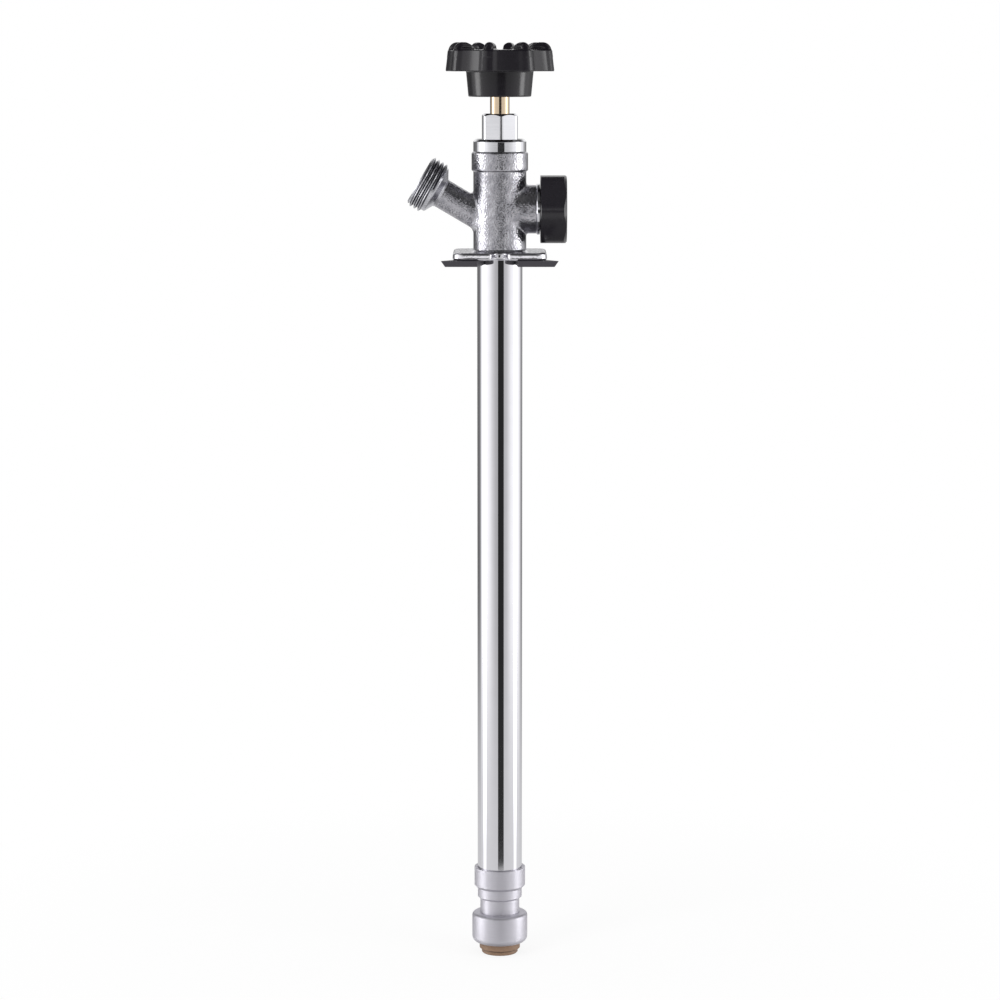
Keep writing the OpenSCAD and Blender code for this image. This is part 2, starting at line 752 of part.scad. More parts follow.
// Tan plastic collar that is pushed in to let go of the pipe
module release_collar() {
    narrow_r = pipe_hole_r + release_wall;
    flange_h = 1.5;
    nose_r = pipe_hole_r + 1.6;
    nose_z = grip_z - release_travel - free_gap;
    color("tan") rotate_extrude() polygon(concat(
        [[pipe_hole_r, nose_z], [pipe_hole_r, release_foot + 0.4], [pipe_hole_r + 0.3, release_foot]],
        arc(narrow_r - 0.7, release_foot + 0.7, 0.7, -90, 0),
        [[narrow_r, shell_foot_z - release_wide], [release_r, shell_foot_z - release_wide],
         [release_r, release_flange_z], [release_r + 0.9, release_flange_z],
         [release_r + 0.9, release_flange_z + flange_h], [nose_r, release_flange_z + flange_h],
         [nose_r, nose_z]]));
}

// Plastic float that water pushes outwards to shut the vent
module vent_float() {
    stem_end = stub_end + 1;
    color("whitesmoke") along_vent() {
        translate([0, 0, float_x]) cylinder(r = vent_bore_r - 2 * free_gap, h = float_t);
        translate([0, 0, float_x]) cylinder(r = float_stem_r, h = stem_end - float_x);
    }
}

// Rubber seal on the float's outer face
module vent_seal() {
    color("black") along_vent() translate([0, 0, vent_seal_x])
        ring(vent_bore_r - 3 * free_gap, float_stem_r + fit_gap, vent_seal_t);
}

// Brass seat with a raised lip, three spokes and a guide for the float's stem
module vent_seat() {
    flange_x = stub_end + vent_gasket_t;
    hole_r = vent_bore_r - 3;
    hub_r = float_stem_r + 1.2;
    color("goldenrod") along_vent() difference() {
        union() {
            translate([0, 0, flange_x]) ring(stub_d / 2, hole_r, 1);
            translate([0, 0, vent_lip_x + 0.8]) ring(vent_bore_r - fit_gap, hole_r, flange_x - vent_lip_x);
            translate([0, 0, vent_lip_x]) ring(hole_r + 1, hole_r, 1.6);
            translate([0, 0, vent_lip_x + 2]) cylinder(r = hub_r, h = flange_x - vent_lip_x - 2);
            for (turn = [0:120:240])
                rotate(turn) translate([0, -0.8, vent_lip_x + 2.3])
                    cube([hole_r + 0.5, 1.6, flange_x - vent_lip_x - 2.6]);
        }
        cylinder(r = float_stem_r + run_gap, h = 3 * stub_end);
    }
}

// Flat gasket between the vent seat and the end of the stub
module vent_gasket() {
    color("black") along_vent() translate([0, 0, stub_end])
        ring(stub_d / 2, vent_bore_r, vent_gasket_t);
}

// Outline of the cap: a hexagon with large round corners, a hair proud of its flats
module cap_outline() {
    centre_r = (cap_af / 2 - cap_corner) / cos(30);
    flat_r = cap_corner - 0.02;
    corners = [for (i = [0:5]) 60 * i + 30];
    for (a = corners) rotate(a) translate([centre_r, 0]) circle(r = cap_corner);
    polygon([for (a = corners, side = [-30, 30])
        [centre_r * cos(a) + flat_r * cos(a + side),
         centre_r * sin(a) + flat_r * sin(a + side)]]);
}

// Black plastic cap of the vent, with air grooves inside its skirt
module vent_cap() {
    reach_r = (cap_af / 2 - cap_corner) / cos(30) + cap_corner + 0.1;
    groove_r = 1.2;
    color("dimgray") along_vent() translate([0, 0, cap_x]) difference() {
        intersection() {
            linear_extrude(cap_l) cap_outline();
            union() {
                cylinder(r1 = reach_r - 0.5, r2 = reach_r, h = 0.5);
                translate([0, 0, 0.5]) cylinder(r = reach_r + cut, h = cap_l - cap_chamfer - 0.5);
                translate([0, 0, cap_l - cap_chamfer])
                    cylinder(r1 = reach_r, r2 = reach_r - cap_chamfer, h = cap_chamfer);
            }
        }
        translate([0, 0, -cut]) cylinder(r = stub_d / 2 + fit_gap, h = cap_room_x - cap_x + cut);
        for (turn = [0:60:300])
            rotate(turn) translate([stub_d / 2, 0, -cut])
                cylinder(r = groove_r, h = cap_room_x - cap_x + cut);
    }
}

// Skirt of the hand wheel: ridges with hollows between them, drawn in towards its top
module wheel_skirt() {
    half = 180 / ridges;
    ridge_at = wheel_r + ridge_tip - ridge_r;
    across = scallop_r + ridge_r;
    scallop_at = ridge_at * cos(half) + sqrt(across ^ 2 - (ridge_at * sin(half)) ^ 2);
    lean = asin(ridge_at * sin(half) / across);
    // The core's corners stand just inside the ridges, where the hollows touch them
    corner_r = 0.95 * ridge_r;
    corner_turn = half + lean;
    translate([0, 0, skirt_z]) intersection() {
        linear_extrude(skirt_h) {
            for (i = [0:ridges - 1]) rotate(2 * half * i) translate([ridge_at, 0]) circle(r = ridge_r);
            difference() {
                polygon([for (i = [0:ridges - 1], side = [-1, 1])
                    let (a = 2 * half * i, b = a + side * corner_turn)
                    [ridge_at * cos(a) + corner_r * cos(b), ridge_at * sin(a) + corner_r * sin(b)]]);
                for (i = [0:ridges - 1])
                    rotate(2 * half * i + half) translate([scallop_at, 0]) circle(r = scallop_r, $fn = 360);
            }
        }
        cylinder(r1 = wheel_r, r2 = wheel_r - wheel_draft, h = skirt_h);
    }
}

// One finger rib on the wheel's rim: round across its top, and round at both ends
module finger_rib() {
    r = rib_w / 2;
    outer = wheel_r - wheel_draft - 0.4;
    inner = outer - 10;
    foot = rim_z - 2;
    top = rim_z + rib_h;
    end_r = rib_h - 0.6;
    intersection() {
        rotate([90, 0, 90]) linear_extrude(wheel_r) {
            translate([0, top - r]) circle(r = r);
            translate([-r, foot]) square([rib_w, top - r - foot]);
        }
        rotate([90, 0, 0]) linear_extrude(2 * rib_w, center = true) polygon(concat(
            [[inner, foot - cut], [outer, foot - cut]],
            arc(outer - end_r, top + 0.1 - end_r, end_r, 0, 90, 8),
            arc(inner + end_r, top + 0.1 - end_r, end_r, 90, 180, 8)));
    }
}

// Black plastic hand wheel: ridged skirt with finger ribs, hollow below, on a flared hub
module handwheel() {
    hub_top_r = hub_r + hub_flare;
    cavity_h = hub_h + 2.4;
    dish_r = boss_r + 6;
    color("dimgray") rotate(ridge_turn - 90) difference() {
        union() {
            translate([0, 0, hub_z]) cylinder(r1 = hub_r, r2 = hub_top_r, h = hub_h);
            wheel_skirt();
            for (i = [0:ridges - 1]) rotate(i * 360 / ridges) finger_rib();
        }
        // Hollow between hub and skirt, and inside the hub round its boss and webs
        translate([0, 0, skirt_z - cut])
            ring(wheel_r - 2.6 - wheel_wall, hub_top_r + free_gap, skirt_h - wheel_wall + cut);
        difference() {
            translate([0, 0, hub_z - cut]) cylinder(r = hub_r - wheel_wall, h = cavity_h + cut);
            translate([0, 0, hub_z - 2 * cut]) cylinder(r = boss_r, h = cavity_h + 3 * cut);
            for (turn = [0:90:270])
                rotate(turn) translate([0, -0.8, hub_z + 2]) cube([hub_r, 1.6, cavity_h + cut]);
        }
        // Dished top with a recess for the screw
        translate([0, 0, rim_z - 2]) cylinder(r1 = dish_r - 3, r2 = dish_r, h = 2.001);
        translate([0, 0, recess_z]) cylinder(r = washer_d / 2 + 2, h = skirt_h);
        // Hole for the stem and its fluted top
        translate([0, 0, hub_z - cut]) cylinder(r = stem_r + fit_gap, h = 6 + cut + fit_gap);
        translate([0, 0, hub_z]) stem_top(fit_gap, skirt_z - hub_z + skirt_h);
    }
}

// Flat washer under the screw's head
module handle_washer() {
    color("silver") translate([0, 0, recess_z]) ring(washer_d / 2, screw_d / 2 + fit_gap, washer_t);
}

// Round head screw with a cross recess
module handle_screw() {
    head_z = recess_z + washer_t;
    color("silver") difference() {
        union() {
            translate([0, 0, head_z]) cylinder(d1 = head_d, d2 = head_d - 1.6, h = head_h);
            translate([0, 0, recess_z - free_gap - screw_l + 0.5])
                cylinder(d = screw_d, h = screw_l + washer_t);
        }
        for (turn = [0, 90])
            rotate(turn) translate([-2.2, -0.5, head_z + head_h - 1.4]) cube([4.4, 1, 1.4 + cut]);
    }
}

valve_body();
outer_tube();
wall_wedge();
packing_nut();
packing_gland();
packing_ring();
packing_washer();
stem();
stem_pin();
operating_rod();
rod_guide();
drive_screw();
swivel_ring();
handwheel();
handle_screw();
handle_washer();
washer_holder();
seat_washer();
washer_screw();
drive_nut();
end_fitting();
connector_shell();
inlet_seal();
seal_spacer();
grip_ring();
grip_retainer();
release_collar();
vent_float();
vent_seal();
vent_seat();
vent_gasket();
vent_cap();
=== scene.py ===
from math import cos, pi, radians, sin, sqrt

import bmesh
import bpy
import numpy as np
from mathutils import Matrix, Vector


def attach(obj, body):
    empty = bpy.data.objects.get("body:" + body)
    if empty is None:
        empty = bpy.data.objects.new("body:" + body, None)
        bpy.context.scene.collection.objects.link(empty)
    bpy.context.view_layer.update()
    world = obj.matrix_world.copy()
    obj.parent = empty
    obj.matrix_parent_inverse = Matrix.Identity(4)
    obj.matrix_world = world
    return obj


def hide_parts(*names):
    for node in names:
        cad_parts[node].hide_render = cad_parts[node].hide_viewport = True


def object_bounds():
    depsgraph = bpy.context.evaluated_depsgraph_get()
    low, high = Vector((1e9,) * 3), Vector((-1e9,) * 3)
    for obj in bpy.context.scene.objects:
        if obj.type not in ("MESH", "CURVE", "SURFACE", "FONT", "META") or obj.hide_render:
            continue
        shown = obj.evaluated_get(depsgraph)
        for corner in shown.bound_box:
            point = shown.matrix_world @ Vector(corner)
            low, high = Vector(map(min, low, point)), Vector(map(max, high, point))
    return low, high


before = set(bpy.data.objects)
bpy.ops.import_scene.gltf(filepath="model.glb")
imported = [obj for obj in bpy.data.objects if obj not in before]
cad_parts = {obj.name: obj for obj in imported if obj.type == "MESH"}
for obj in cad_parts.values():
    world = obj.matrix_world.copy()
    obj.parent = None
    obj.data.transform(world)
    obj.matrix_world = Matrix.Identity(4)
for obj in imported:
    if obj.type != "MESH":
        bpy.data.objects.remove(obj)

cad_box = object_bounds()
scene = bpy.context.scene

# The view of the photograph: a long lens level with the hand wheel's hub, just under 1.6 m in
# front of the tap and tilted down until the whole tube is in the frame.
scene.view_settings.view_transform = "Standard"
lens = bpy.data.cameras.new("photo_lens")
lens.sensor_width = 36
lens.lens = 115.9
lens.clip_end = 30
camera = bpy.data.objects.new("photo_camera", lens)
camera.location = (0.0001, -1.58, 0.0996)
camera.rotation_euler = (radians(90 - 7.8), 0, 0)
scene.collection.objects.link(camera)
scene.camera = camera


# The light tent: two tall white panels at the sides with a brighter strip in each, a black slit
# towards the camera, and a pale backdrop. Polished metal shows it; the camera sees plain white.
class Wire:
    """One output of a node tree. A sum on it adds its Math nodes."""

    def __init__(self, tree, socket=None):
        self.tree = tree
        self.socket = socket

    def node(self, kind, settings=None, sockets=None, out=0):
        """Adds a node: its settings first, then the values or links of its sockets."""
        made = self.tree.nodes.new("ShaderNode" + kind)
        for name, value in (settings or {}).items():
            if name == "stops":
                ramp = made.color_ramp.elements
                ramp.remove(ramp[1])
                ramp[0].position = value[0][0]
                for place, level in value[1:]:
                    ramp.new(place)
                for stop, (place, level) in zip(ramp, value):
                    stop.color = (level, level, level, 1)
            else:
                setattr(made, name, value)
        for name, value in (sockets or {}).items():
            if isinstance(value, Wire):
                self.tree.links.new(value.socket, made.inputs[name])
            else:
                made.inputs[name].default_value = value
        return Wire(self.tree, made.outputs[out])

    def other(self, out):
        """Another output of the same node."""
        return Wire(self.tree, self.socket.node.outputs[out])

    def maths(self, operation, *values):
        return self.node("Math", {"operation": operation}, dict(enumerate(values)))

    def __add__(self, value):
        return self.maths("ADD", self, value)

    def __sub__(self, value):
        return self.maths("SUBTRACT", self, value)

    def __rsub__(self, value):
        return self.maths("SUBTRACT", value, self)

    def __mul__(self, value):
        return self.maths("MULTIPLY", self, value)

    __radd__ = __add__
    __rmul__ = __mul__

    def levels(self, *stops):
        """A ramp of grey levels from 0 to 1."""
        return self.node("ValToRGB", {"stops": stops}, {"Fac": self})

    def rise(self, low, high):
        """0 below low and 1 above high, with a smooth step between."""
        return self.node("MapRange", {"interpolation_type": "SMOOTHSTEP"},
                         {"Value": self, "From Min": low, "From Max": high})

    def blend(self, first, second):
        """The first colour where this is 0 and the second where it is 1."""
        return self.node("Mix", {"data_type": "RGBA"}, {0: self, 6: first, 7: second}, 2)


def around(*levels):
    """Stops of a ramp over the turn from the camera, in degrees towards +X, at an eighth level."""
    return [(turn / 360 + 0.5, level / 8) for turn, level in levels]


world = bpy.data.worlds.new("light_tent")
scene.world = world
world.use_nodes = True
world.node_tree.nodes.clear()
tent = Wire(world.node_tree)
side = tent.node("SeparateXYZ", None, {0: tent.node("TexCoord")})
turn = tent.maths("ARCTAN2", side, side.other(1) * -1) * (0.5 / pi) + 0.5
height = side.other(2) * 0.5 + 0.5
panels = turn.levels(*around(
    (-180, 0.25), (-150, 0.14), (-120, 0.22), (-110, 0.95), (-97, 1.2), (-94, 3.6), (-76, 3.6),
    (-72, 1.2), (-54, 1.0), (-38, 0.72), (-21, 0.5), (-9, 0.44), (21, 0.5), (36, 0.6), (58, 1.0),
    (76, 1.15), (79, 3.6), (96, 3.6), (99, 1.2), (119, 1.0), (129, 0.55), (150, 0.24), (180, 0.25))) * 8
up = side.other(2)
# The strips are brighter below the wall, and fade into the panels towards the table.
strips = 1 + panels.rise(2, 3) * (1 - up.rise(-0.15, -0.1)) * 0.9
low = 1 - up.rise(-0.25, -0.15)
ends = height.levels(
    (0, 0.4), (0.05, 0.4), (0.1, 0.8), (0.16, 1), (0.66, 1), (0.76, 0.2), (0.9, 0.2), (1, 0.12))
# Over and beside the camera: the slit, a pale board above it, and the dark room over the board.
slit = turn.levels(*around((-180, 0), (-9.6, 0), (-9, 8), (20.4, 8), (21, 0), (180, 0)))
slit = slit * (1 - up.rise(0.012, 0.035)) * up.rise(-0.2485, -0.2465)
board = turn.levels(*around((-180, 0), (-58, 0), (-50, 8), (50, 8), (62, 0), (180, 0)))
board = board * up.rise(-0.0249, -0.0243) * (1 - up.rise(0.12, 0.17))
room = turn.levels(*around((-180, 0), (-40, 0), (-15, 8), (45, 8), (65, 0), (180, 0)))
room = room * up.rise(0.15, 0.2) * (1 - up.rise(0.6, 0.7)) * 0.65
backdrop = (turn.maths("ABSOLUTE", turn - 0.5)).rise(0.38, 0.46) * height.levels(
    (0, 0), (0.53, 0), (0.57, 0.8), (0.74, 0.8), (0.84, 0))
panels = panels * strips * (1 - low * 0.92) + low * 0.62
shown = panels * (1 - board) + board * (0.8 + up.rise(0.0, 0.02) * 0.15)
shown = shown * (1 - slit * 0.95) * (1 - room) * ends + backdrop
ray = tent.node("LightPath")
level = ray + (1 - ray) * (ray.other(3) * shown + (1 - ray.other(3)) * 0.8)
sky = tent.node("Background", None, {"Color": (1, 1, 1, 1), "Strength": level})
tent.tree.links.new(sky.socket, tent.tree.nodes.new("ShaderNodeOutputWorld").inputs[0])

for name, place, size, power in (("key", (-1.0, -1.2, 1.0), 0.7, 10), ("fill", (1.3, -0.9, 0.5), 0.9, 6)):
    lamp = bpy.data.lights.new(name, "AREA")
    lamp.size = size
    lamp.energy = power
    holder = bpy.data.objects.new(name, lamp)
    holder.location = place
    holder.rotation_euler = (Vector(place) - Vector((0, 0, -0.1))).to_track_quat("Z", "Y").to_euler()
    holder.visible_glossy = False
    scene.collection.objects.link(holder)


# The pale table that the tap stands on. The camera sees it almost white, with the tap's soft
# shadow; the panels, and not the table, show in the plating.
def new_finish(name):
    """An empty material, and the place on the piece that its patterns are drawn by."""
    made = bpy.data.materials.new(name)
    made.use_nodes = True
    made.node_tree.nodes.clear()
    return made, Wire(made.node_tree).node("TexCoord", out=3)


def close_finish(place, shader):
    place.tree.links.new(shader.socket, place.tree.nodes.new("ShaderNodeOutputMaterial").inputs[0])


SHADOW_REACH = 0.355
table_finish, place = new_finish("table_white")
paint = place.node("BsdfDiffuse", None, {"Color": (0.9, 0.9, 0.9, 1)})
glow = place.node("Emission", None, {"Color": (1, 1, 1, 1), "Strength": 1})
away = place.node("VectorMath", {"operation": "LENGTH"}, {0: place}, 1).rise(SHADOW_REACH, 0.5)
seen = place.node("LightPath") * (away * 0.14 + 0.86)
close_finish(place, place.node("MixShader", None, {0: seen, 1: paint, 2: glow}))
shape = bmesh.new()
bmesh.ops.create_circle(shape, cap_ends=True, segments=64, radius=8)
bmesh.ops.translate(shape, verts=shape.verts, vec=(0, 0, cad_box[0][2]))
mesh = bpy.data.meshes.new("table")
shape.to_mesh(mesh)
shape.free()
mesh.materials.append(table_finish)
table = bpy.data.objects.new("table", mesh)
table.visible_glossy = False
scene.collection.objects.link(table)


# Cast body: a sand casting in brass with a wall flange, a barrel and its thicker collar, the neck
# of the spout and the branch of the vent. The plating follows the sand's fine grain.
def srgb(red, green, blue):
    """A colour as it should look, from 0 to 255, in linear light."""
    return tuple(((c / 255 + 0.055) / 1.055) ** 2.4 if c > 10 else c / 3294.6
                 for c in (red, green, blue)) + (1,)


def grain(place, size, detail=2, stretch=(1, 1, 1)):
    """Fine noise whose features are this many millimetres across."""
    spread = place.node("VectorMath", {"operation": "MULTIPLY"}, {0: place, 1: stretch})
    return place.node("TexNoise", None, {"Vector": spread, "Scale": 1000 / size, "Detail": detail})


def surface(place, colour, roughness, metallic=0, relief=None, depth=0.0, **other):
    """The standard shader, with a relief of this depth in millimetres."""
    sockets = {"Base Color": colour, "Roughness": roughness, "Metallic": metallic}
    for name, value in other.items():
        sockets[name.replace("_", " ")] = value
    if relief is not None:
        sockets["Normal"] = place.node("Bump", None, {"Height": relief, "Distance": depth / 1000})
    close_finish(place, place.node("BsdfPrincipled", None, sockets))


def drawn(shape, name):
    """A mesh in metres from a bmesh drawn in millimetres."""
    bmesh.ops.scale(shape, vec=(0.001, 0.001, 0.001), verts=shape.verts)
    mesh = bpy.data.meshes.new(name)
    shape.to_mesh(mesh)
    shape.free()
    return mesh


def piece(name, mesh, body, finish, sharp=30, stands_for=()):
    """Puts a finished mesh in the scene on its body, and hides the nodes that it stands for."""
    mesh.materials.clear()
    mesh.materials.append(finish)
    mesh.shade_smooth()
    if sharp:
        mesh.set_sharp_from_angle(angle=radians(sharp))
    made = bpy.data.objects.new(name, mesh)
    scene.collection.objects.link(made)
    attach(made, body)
    if stands_for:
        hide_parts(*stands_for)
    return made


def rounded(made, width, segments=3, angle=35):
    """Breaks a piece's sharp edges, as tumbling and plating do."""
    edge = made.modifiers.new("broken_edges", "BEVEL")
    edge.width = width / 1000
    edge.segments = segments
    edge.limit_method = "ANGLE"
    edge.angle_limit = radians(angle)
    edge.harden_normals = True
    edge.use_clamp_overlap = True


def turned(outline, axis=(0, 0, 1), start=(0, 0, 0), steps=128, whole=True):
    """A turned part: an outline of (radius, distance) spun about an axis from a start point."""
    shape = bmesh.new()
    ring = [shape.verts.new((radius, 0, along)) for radius, along in outline]
    edges = [shape.edges.new(pair) for pair in zip(ring, ring[1:])]
    if whole:
        edges.append(shape.edges.new((ring[-1], ring[0])))
    bmesh.ops.spin(shape, geom=ring + edges, angle=2 * pi, steps=steps, axis=(0, 0, 1),
                   cent=(0, 0, 0), use_merge=True)
    bmesh.ops.remove_doubles(shape, verts=shape.verts, dist=1e-5)
    bmesh.ops.recalc_face_normals(shape, faces=shape.faces)
    way = Vector(axis).to_track_quat("Z", "Y").to_matrix().to_4x4()
    bmesh.ops.transform(shape, matrix=Matrix.Translation(start) @ way, verts=shape.verts)
    return shape


def joined(*shapes):
    """One bmesh from several."""
    whole = bmesh.new()
    for shape in shapes:
        held = bpy.data.meshes.new("held")
        shape.to_mesh(held)
        shape.free()
        whole.from_mesh(held)
        bpy.data.meshes.remove(held)
    return whole


def shaped(mesh, *steps):
    """The mesh after modifiers, each a type and its settings."""
    block = bpy.data.objects.new("block", mesh)
    scene.collection.objects.link(block)
    for kind, settings in steps:
        step = block.modifiers.new(kind, kind)
        for name, value in settings.items():
            setattr(step, name, value)
    bpy.context.view_layer.update()
    result = bpy.data.meshes.new_from_object(block.evaluated_get(bpy.context.evaluated_depsgraph_get()))
    bpy.data.objects.remove(block)
    return result


def shaped_with(mesh, tool_shape, operation):
    """The mesh joined to, kept inside or cut by a closed shape."""
    tool = bpy.data.objects.new("tool", drawn(tool_shape, "tool"))
    scene.collection.objects.link(tool)
    result = shaped(mesh, ("BOOLEAN", {"operation": operation, "object": tool, "solver": "EXACT"}))
    bpy.data.objects.remove(tool)
    return result


def cut_away(mesh, tool_shape):
    return shaped_with(mesh, tool_shape, "DIFFERENCE")


def welded(node):
    """A closed copy of a CAD part's mesh."""
    shape = bmesh.new()
    shape.from_mesh(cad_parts[node].data)
    bmesh.ops.remove_doubles(shape, verts=shape.verts, dist=1e-7)
    mesh = bpy.data.meshes.new(node)
    shape.to_mesh(mesh)
    shape.free()
    return mesh


def settled(mesh, distance, passes=3):
    """Moves each point of a mesh onto the surface where a distance, in millimetres, is nought."""
    points = np.zeros(len(mesh.vertices) * 3)
    mesh.vertices.foreach_get("co", points)
    points = points.reshape(-1, 3) * 1000
    for _ in range(passes):
        here = distance(points)
        slope = np.stack([distance(points + step) - distance(points - step)
                          for step in np.eye(3) * 0.02], 1) / 0.04
        points -= np.clip(here, -0.6, 0.6)[:, None] * slope / np.maximum((slope ** 2).sum(1), 0.2)[:, None]
    mesh.vertices.foreach_set("co", (points / 1000).ravel())
    mesh.update()


def relaxed(mesh, distance, rounds=3):
    """Evens out a mesh's faces and sets its points back on the surface."""
    for _ in range(rounds):
        shape = bmesh.new()
        shape.from_mesh(mesh)
        bmesh.ops.smooth_vert(shape, verts=shape.verts, factor=0.5, use_axis_x=True, use_axis_y=True,
                              use_axis_z=True)
        shape.to_mesh(mesh)
        shape.free()
        settled(mesh, distance, 2)


def filleted(first, second, radius):
    """Two solids as one, with a fillet of this radius between them."""
    gap = np.maximum(radius - np.stack([first, second]), 0)
    return np.maximum(radius, np.minimum(first, second)) - np.hypot(gap[0], gap[1])


def both(first, second, radius):
    """What two solids share, with its edge rounded."""
    over = np.maximum(radius + np.stack([first, second]), 0)
    return np.minimum(-radius, np.maximum(first, second)) + np.hypot(over[0], over[1])


def between(value, low, high):
    """Distance outside a stretch from low to high, below nought inside it."""
    return np.maximum(low - value, value - high)


def ring_part(radius, start, stop, centre=(0, 0), count=24):
    """Points along part of a circle, in degrees."""
    return [(centre[0] + radius * cos(radians(a)), centre[1] + radius * sin(radians(a)))
            for a in np.linspace(start, stop, count)]


def raised(outline, low, high):
    """A solid between two heights over a flat outline."""
    shape = bmesh.new()
    foot = shape.faces.new([shape.verts.new((x, y, low)) for x, y in outline])
    grown = bmesh.ops.extrude_face_region(shape, geom=[foot])["geom"]
    top = [part for part in grown if isinstance(part, bmesh.types.BMVert)]
    bmesh.ops.translate(shape, vec=(0, 0, high - low), verts=top)
    bmesh.ops.recalc_face_normals(shape, faces=shape.faces)
    return shape


# Sizes here and below are in millimetres, and heights are from the wall along the tube's axis.
FLANGE_X, FLANGE_Y, FLANGE_CORNER = 23, 21.5, 6
FLANGE_BACK, FLANGE_FRONT = 2.9, 6.5
DRAFT = 0.085
NOTCH_R, NOTCH_Y = 3.6, 18
BARREL_R, BARREL_TOP = 12.95, 55.3
COLLAR_R, COLLAR_FOOT, COLLAR_TOP = 13.8, 45.4, 54.6
SPOUT_R, SPOUT_NECK = 7.25, 34
SPOUT_TURN = radians(30.5)
SPOUT_AXIS = Vector((-cos(SPOUT_TURN), 0, sin(SPOUT_TURN)))
SPOUT_START = Vector((0, 0, 17.9))
VENT_R, VENT_NECK = 11.85, 18.2
VENT_AXIS = Vector((1, 0, 0))
VENT_START = Vector((0, 0, 26.8))
TUBE_R, TUBE_TOP = 11.1, 13.9
BARREL_BORE_R, BARREL_BORE_TOP = 8.5, 45.7
STEM_HOLE_R, PACKING_R, PACKING_FOOT = 5.05, 7.55, 48.7
SPOUT_BORE_R, VENT_BORE_R, VENT_SEAT_R = 5, 6, 8.6
VOXEL = 0.00042
CORNER_X, CORNER_Y = FLANGE_X - FLANGE_CORNER, FLANGE_Y - FLANGE_CORNER


def casting(p):
    """Distance to the outside of the casting."""
    x, y, z = p.T
    r = np.hypot(x, y)
    barrel = both(r - BARREL_R, between(z, FLANGE_BACK, BARREL_TOP), 0.3)
    collar = both(r - COLLAR_R, between(z, COLLAR_FOOT, COLLAR_TOP), 0.8)
    along = (p - np.array(SPOUT_START)) @ np.array(SPOUT_AXIS)
    off = np.linalg.norm(p - np.array(SPOUT_START) - along[:, None] * np.array(SPOUT_AXIS), axis=1)
    neck = both(off - SPOUT_R, between(along, 0, SPOUT_NECK), 0.3)
    vent = both(np.hypot(y, z - VENT_START.z) - VENT_R, between(x, 0, VENT_NECK), 0.3)
    corner = np.hypot(np.maximum(np.abs(x) - CORNER_X, 0), np.maximum(np.abs(y) - CORNER_Y, 0))
    sides = np.maximum(np.abs(x) - FLANGE_X, np.abs(y) - FLANGE_Y)
    notch = NOTCH_R - np.hypot(x, np.minimum(np.abs(y) - NOTCH_Y, 0))
    plan = both(np.maximum(corner - FLANGE_CORNER, sides) + (z - FLANGE_BACK) * DRAFT, notch, 2.2)
    flange = both(plan, between(z, FLANGE_BACK, FLANGE_FRONT), 1.1)
    whole = filleted(barrel, collar, 0.4)
    whole = filleted(whole, flange, 1.3)
    whole = filleted(whole, neck, 1.9)
    return filleted(whole, vent, 1.2)


cast_chrome, place = new_finish("sand_cast_chrome")
sand = place.node("TexVoronoi", {"feature": "SMOOTH_F1"}, {"Vector": place, "Scale": 1000 / 0.75})
lumps = grain(place, 4, 1)
# The flange's face to the wall and its edge are ground smoother than the rest.
rough = place.node("SeparateXYZ", None, {0: place}).other(2).rise(0.0056, 0.0072) * 0.85 + 0.15
tone = lumps.rise(0.3, 0.7).blend(srgb(176, 175, 182), srgb(202, 201, 207))
surface(place, rough.blend(srgb(238, 237, 242), tone), rough * 0.15 + sand * 0.09, 1,
        (lumps * 0.2 - sand) * rough, 0.2)

rough_body = joined(
    turned([(0, FLANGE_BACK), (12.9, FLANGE_BACK), (12.9, COLLAR_FOOT), (13.75, COLLAR_FOOT),
            (13.75, COLLAR_TOP), (0, COLLAR_TOP)], whole=False),
    turned([(0, 0), (7.2, 0), (7.2, SPOUT_NECK), (0, SPOUT_NECK)], SPOUT_AXIS, SPOUT_START, whole=False),
    turned([(0, 0), (11.8, 0), (11.8, VENT_NECK), (0, VENT_NECK)], VENT_AXIS, VENT_START, whole=False))
quarter = ring_part(FLANGE_CORNER, 0, 90, (CORNER_X, CORNER_Y), 9)
quarter += [(NOTCH_R, FLANGE_Y), (NOTCH_R, NOTCH_Y)] + ring_part(NOTCH_R, -17.19, -90, (0, NOTCH_Y), 6)
half = quarter + [(-x, y) for x, y in quarter[-2::-1]]
plate = raised(half + [(x, -y) for x, y in half[::-1]], FLANGE_BACK, FLANGE_FRONT)
body_mesh = shaped(drawn(joined(rough_body, plate), "valve_body"),
                   ("REMESH", {"mode": "VOXEL", "voxel_size": VOXEL}))
settled(body_mesh, casting, 5)
relaxed(body_mesh, casting)
body_mesh = cut_away(body_mesh, turned(
    [(0, 2), (TUBE_R + 0.05, 2), (TUBE_R + 0.05, TUBE_TOP), (BARREL_BORE_R, TUBE_TOP),
     (BARREL_BORE_R, BARREL_BORE_TOP), (STEM_HOLE_R, BARREL_BORE_TOP), (STEM_HOLE_R, PACKING_FOOT),
     (PACKING_R, PACKING_FOOT), (PACKING_R, 56), (0, 56)], whole=False))
body_mesh = cut_away(body_mesh, turned(
    [(0, 7), (SPOUT_BORE_R, 7), (SPOUT_BORE_R, 36), (0, 36)], SPOUT_AXIS, SPOUT_START, 96, False))
body_mesh = cut_away(body_mesh, turned(
    [(0, 7), (VENT_BORE_R, 7), (VENT_BORE_R, 14.5), (VENT_SEAT_R, 14.5), (VENT_SEAT_R, 20), (0, 20)],
    VENT_AXIS, VENT_START, 96, False))
piece("cast_body", body_mesh, "housing", cast_chrome, 50, ["valve_body"])

